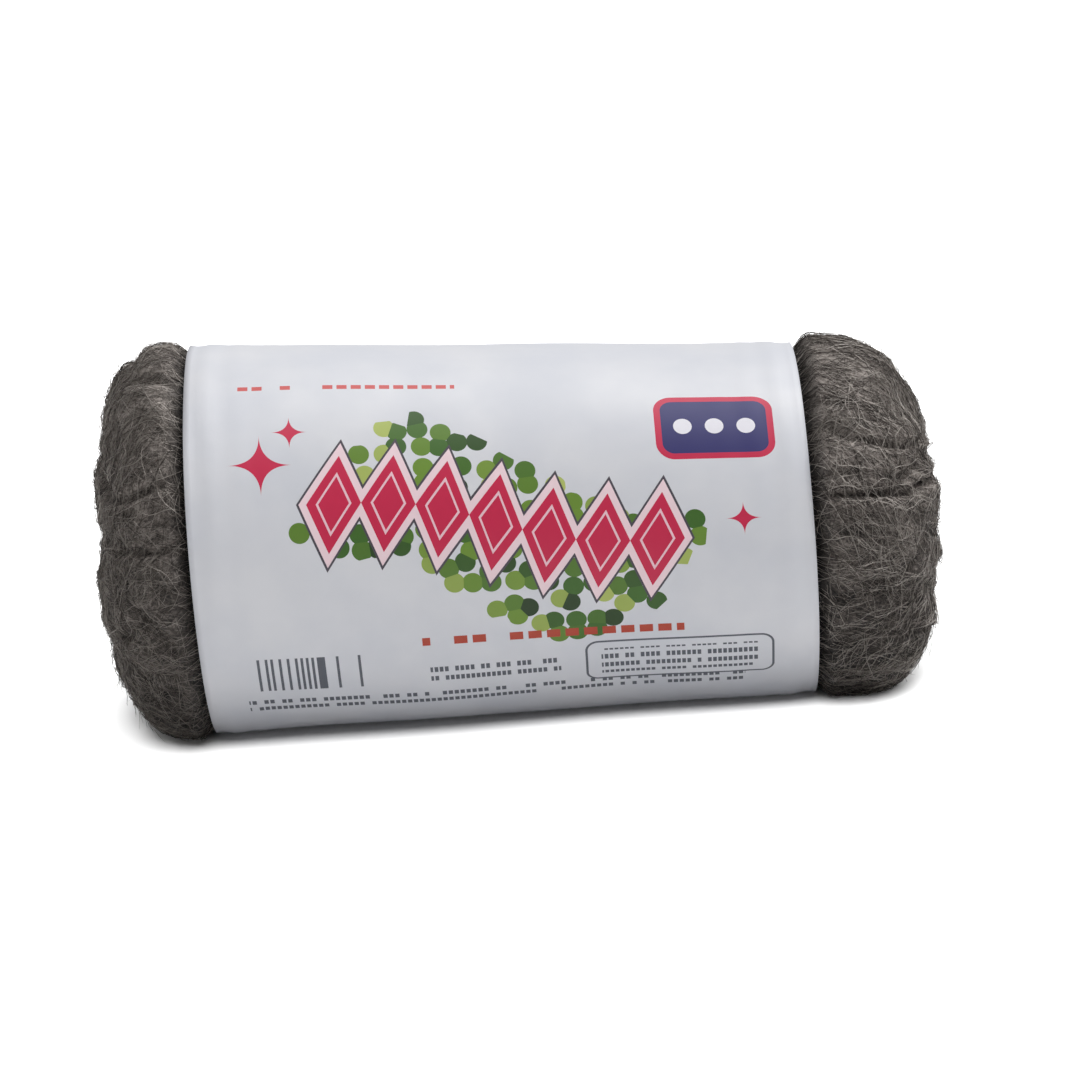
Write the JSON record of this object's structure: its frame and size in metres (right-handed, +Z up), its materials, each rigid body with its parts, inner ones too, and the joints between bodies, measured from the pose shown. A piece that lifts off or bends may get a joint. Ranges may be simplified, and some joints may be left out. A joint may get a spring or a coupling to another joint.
{
  "type": "steel wool bundle",
  "caption": "Soft roll of folded steel wool with rounded, fuzzy ends, held together by a printed paper band round its middle; for scouring and polishing.",
  "frame": {"origin": "on the surface that the bundle lies on, under the middle of its length and width", "axes": "+X along the bundle from its thicker end to its thinner end, +Z up, the band's lap at the back on the +Y side"},
  "size_m": [0.16, 0.0794, 0.0745],
  "materials": {
    "steel_wool": "shaved low-carbon steel wool, dull grey-brown, fibrous",
    "band_paper": "white coated label paper, printed in crimson, navy, green and grey"
  },
  "bodies": {
    "root": {"wool_skein": "steel_wool", "paper_band": "band_paper"}
  },
  "joints": []
}
